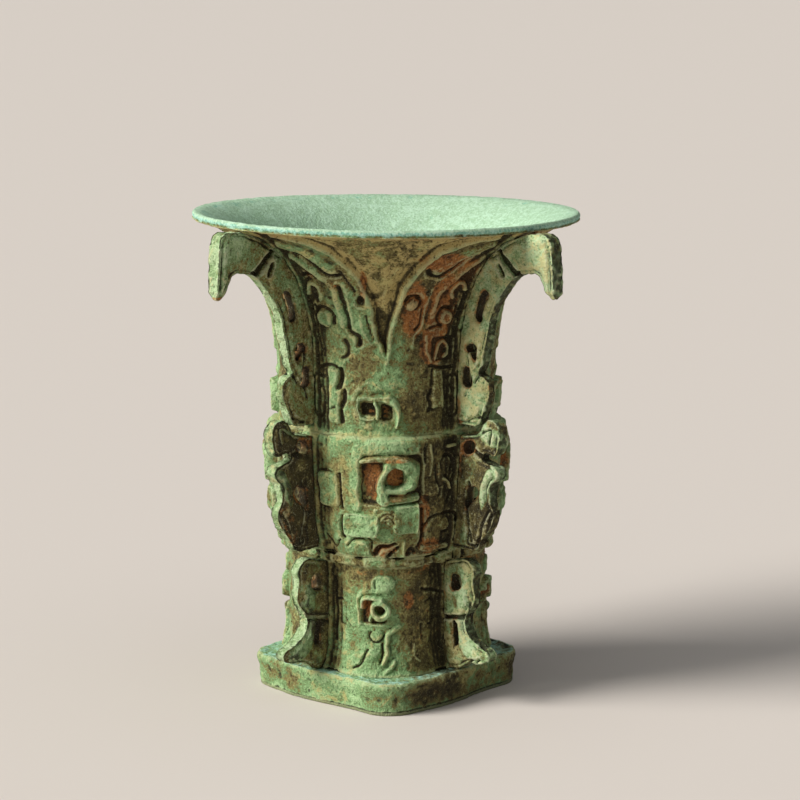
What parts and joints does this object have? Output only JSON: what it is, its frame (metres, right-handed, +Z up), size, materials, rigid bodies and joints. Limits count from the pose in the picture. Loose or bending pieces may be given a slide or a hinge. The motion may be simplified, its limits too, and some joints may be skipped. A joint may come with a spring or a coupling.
{
  "type": "archaic bronze wine cup",
  "caption": "Cast bronze wine cup with a round trumpet mouth, a rounded-square body in registers, pierced hooked flanges and curled corner horns.",
  "frame": {"origin": "middle of the base, on the table", "axes": "+Z up through the mouth; +X, -X, +Y and -Y out of the four faces, along the flanges; -Y is the front"},
  "size_m": [0.0856, 0.0856, 0.09],
  "materials": {
    "mouth_patina": "matte pale grey-green patina",
    "body_patina": "matte green and earth patina",
    "flange_patina": "matte green patina, pale on the edges",
    "horn_patina": "matte green patina with earth in the hollows",
    "earth_patina": "matte brown earth crust over bronze"
  },
  "bodies": {
    "root": {"plinth_ring": "body_patina", "foot_shell": "body_patina", "cup_floor": "earth_patina", "belly_shell": "body_patina", "trumpet_neck": "mouth_patina", "neck_flange_front": "flange_patina", "neck_flange_right": "flange_patina", "neck_flange_back": "flange_patina", "neck_flange_left": "flange_patina", "belly_flange_front": "flange_patina", "belly_flange_right": "flange_patina", "belly_flange_back": "flange_patina", "belly_flange_left": "flange_patina", "foot_flange_front": "flange_patina", "foot_flange_right": "flange_patina", "foot_flange_back": "flange_patina", "foot_flange_left": "flange_patina", "neck_horn_front_right": "horn_patina", "neck_horn_back_right": "horn_patina", "neck_horn_back_left": "horn_patina", "neck_horn_front_left": "horn_patina", "belly_horn_front_right": "horn_patina", "belly_horn_back_right": "horn_patina", "belly_horn_back_left": "horn_patina", "belly_horn_front_left": "horn_patina", "foot_horn_front_right": "horn_patina", "foot_horn_back_right": "horn_patina", "foot_horn_back_left": "horn_patina", "foot_horn_front_left": "horn_patina", "belly_snout_front_right": "horn_patina", "belly_snout_back_right": "horn_patina", "belly_snout_back_left": "horn_patina", "belly_snout_front_left": "horn_patina"}
  },
  "joints": []
}
